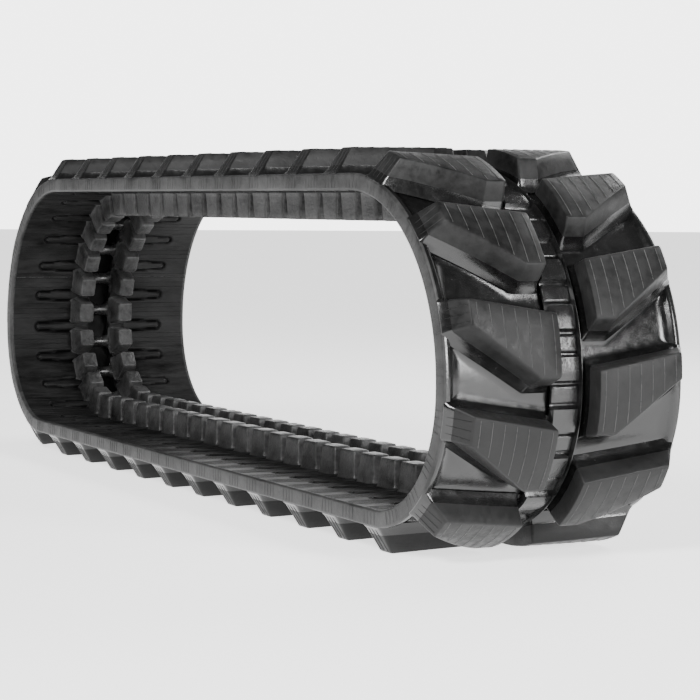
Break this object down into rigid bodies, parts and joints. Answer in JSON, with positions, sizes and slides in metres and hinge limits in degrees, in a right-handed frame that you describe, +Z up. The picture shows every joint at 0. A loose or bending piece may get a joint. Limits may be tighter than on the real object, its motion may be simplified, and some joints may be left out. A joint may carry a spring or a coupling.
{
  "type": "rubber track",
  "caption": "Endless rubber crawler track with steel cores, guide horns inside and staggered chevron lugs outside, standing on its lower run.",
  "frame": {"origin": "on the ground under the middle of the track, midway between its sides", "axes": "+X along the track toward its front end, +Y across it to the left, +Z up"},
  "size_m": [1.4918, 0.3, 0.452],
  "materials": {
    "carcass_rubber": "satin black moulded rubber with fine mould lines",
    "lug_rubber": "satin dark grey moulded rubber, glossier at the foot of the lugs",
    "web_rubber": "glossy black moulded rubber",
    "horn_rubber": "slightly rough black moulded rubber",
    "core_steel": "forged steel, dull grey",
    "cord_steel": "brass-plated steel cord"
  },
  "bodies": {
    "bottom_run": {"bottom_carcass_left": "carcass_rubber", "bottom_carcass_right": "carcass_rubber", "bottom_centre_web": "web_rubber", "bottom_cores": "core_steel", "bottom_cords": "cord_steel", "bottom_guide_horns": "horn_rubber", "bottom_lugs_left": "lug_rubber", "bottom_lugs_right": "lug_rubber"},
    "front_lower": {"front_lower_carcass_left": "carcass_rubber", "front_lower_carcass_right": "carcass_rubber", "front_lower_centre_web": "web_rubber", "front_lower_cores": "core_steel", "front_lower_cords": "cord_steel", "front_lower_guide_horns": "horn_rubber", "front_lower_lugs_left": "lug_rubber", "front_lower_lugs_right": "lug_rubber"},
    "front_upper": {"front_upper_carcass_left": "carcass_rubber", "front_upper_carcass_right": "carcass_rubber", "front_upper_centre_web": "web_rubber", "front_upper_cores": "core_steel", "front_upper_cords": "cord_steel", "front_upper_guide_horns": "horn_rubber", "front_upper_lugs_left": "lug_rubber", "front_upper_lugs_right": "lug_rubber"},
    "front_top": {"front_top_carcass_left": "carcass_rubber", "front_top_carcass_right": "carcass_rubber", "front_top_centre_web": "web_rubber", "front_top_cores": "core_steel", "front_top_cords": "cord_steel", "front_top_guide_horns": "horn_rubber", "front_top_lugs_left": "lug_rubber", "front_top_lugs_right": "lug_rubber"},
    "rear_lower": {"rear_lower_carcass_left": "carcass_rubber", "rear_lower_carcass_right": "carcass_rubber", "rear_lower_centre_web": "web_rubber", "rear_lower_cores": "core_steel", "rear_lower_cords": "cord_steel", "rear_lower_guide_horns": "horn_rubber", "rear_lower_lugs_left": "lug_rubber", "rear_lower_lugs_right": "lug_rubber"},
    "rear_upper": {"rear_upper_carcass_left": "carcass_rubber", "rear_upper_carcass_right": "carcass_rubber", "rear_upper_centre_web": "web_rubber", "rear_upper_cores": "core_steel", "rear_upper_cords": "cord_steel", "rear_upper_guide_horns": "horn_rubber", "rear_upper_lugs_left": "lug_rubber", "rear_upper_lugs_right": "lug_rubber"},
    "rear_top": {"rear_top_carcass_left": "carcass_rubber", "rear_top_carcass_right": "carcass_rubber", "rear_top_centre_web": "web_rubber", "rear_top_cores": "core_steel", "rear_top_cords": "cord_steel", "rear_top_guide_horns": "horn_rubber", "rear_top_lugs_left": "lug_rubber", "rear_top_lugs_right": "lug_rubber"}
  },
  "joints": [
    {"name": "front_lower_flex", "type": "hinge", "parent": "bottom_run", "child": "front_lower", "pos_m": [0.525, 0, 0.04], "axis": [0, 1, 0], "range_deg": [-2.5, 3.5], "stiffness_Nm_per_rad": 150, "springref_deg": -2.78},
    {"name": "front_middle_flex", "type": "hinge", "parent": "front_lower", "child": "front_upper", "pos_m": [0.70204, 0, 0.23827], "axis": [0, 1, 0], "range_deg": [-8.1, 5.8], "stiffness_Nm_per_rad": 150, "springref_deg": 6.3},
    {"name": "front_upper_flex", "type": "hinge", "parent": "front_upper", "child": "front_top", "pos_m": [0.57523, 0, 0.39509], "axis": [0, 1, 0], "range_deg": [-3.3, 4.6], "stiffness_Nm_per_rad": 150, "springref_deg": -3.52},
    {"name": "rear_lower_flex", "type": "hinge", "parent": "bottom_run", "child": "rear_lower", "pos_m": [-0.525, 0, 0.04], "axis": [0, 1, 0], "range_deg": [-3.5, 2.5], "stiffness_Nm_per_rad": 150, "springref_deg": 2.78},
    {"name": "rear_middle_flex", "type": "hinge", "parent": "rear_lower", "child": "rear_upper", "pos_m": [-0.70204, 0, 0.23827], "axis": [0, 1, 0], "range_deg": [-5.8, 8.1], "stiffness_Nm_per_rad": 150, "springref_deg": -6.3},
    {"name": "rear_upper_flex", "type": "hinge", "parent": "rear_upper", "child": "rear_top", "pos_m": [-0.57523, 0, 0.39509], "axis": [0, 1, 0], "range_deg": [-4.6, 3.3], "stiffness_Nm_per_rad": 150, "springref_deg": 3.52}
  ],
  "couplings": [
    {"joint": "front_middle_flex", "follows": "front_lower_flex", "ratio": -2.2643},
    {"joint": "front_upper_flex", "follows": "front_lower_flex", "ratio": 1.2643},
    {"joint": "rear_lower_flex", "follows": "front_lower_flex", "ratio": -1},
    {"joint": "rear_middle_flex", "follows": "front_lower_flex", "ratio": 2.2643},
    {"joint": "rear_upper_flex", "follows": "front_lower_flex", "ratio": -1.2643}
  ]
}
